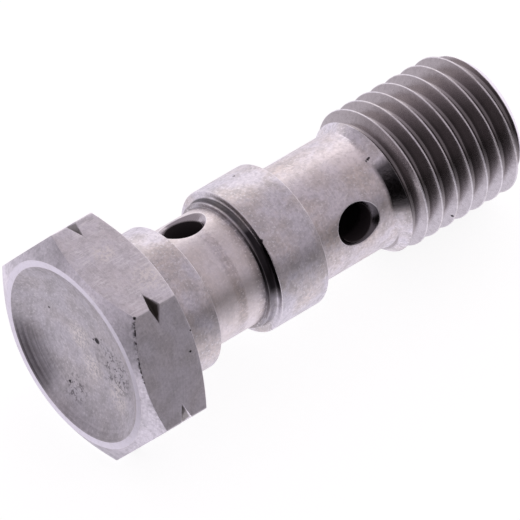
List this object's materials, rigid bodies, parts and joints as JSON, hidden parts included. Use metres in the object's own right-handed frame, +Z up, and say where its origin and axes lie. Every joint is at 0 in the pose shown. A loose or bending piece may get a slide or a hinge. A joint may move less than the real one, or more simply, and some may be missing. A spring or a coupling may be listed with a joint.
{
  "type": "double banjo bolt",
  "caption": "Banjo bolt lying on its side: dished hexagon head, guide land, waisted necks with cross holes either side of a collar, and a male thread. It clamps ring fittings and carries fluid.",
  "frame": {"origin": "on the bolt's axis, at the bearing face under the head", "axes": "+X along the bolt from head to thread, +Z up, with two flats of the hexagon facing up and down"},
  "size_m": [0.0403, 0.0196, 0.017],
  "materials": {
    "steel": "turned, satin"
  },
  "bodies": {
    "root": {"banjo_bolt": "steel"}
  },
  "joints": []
}
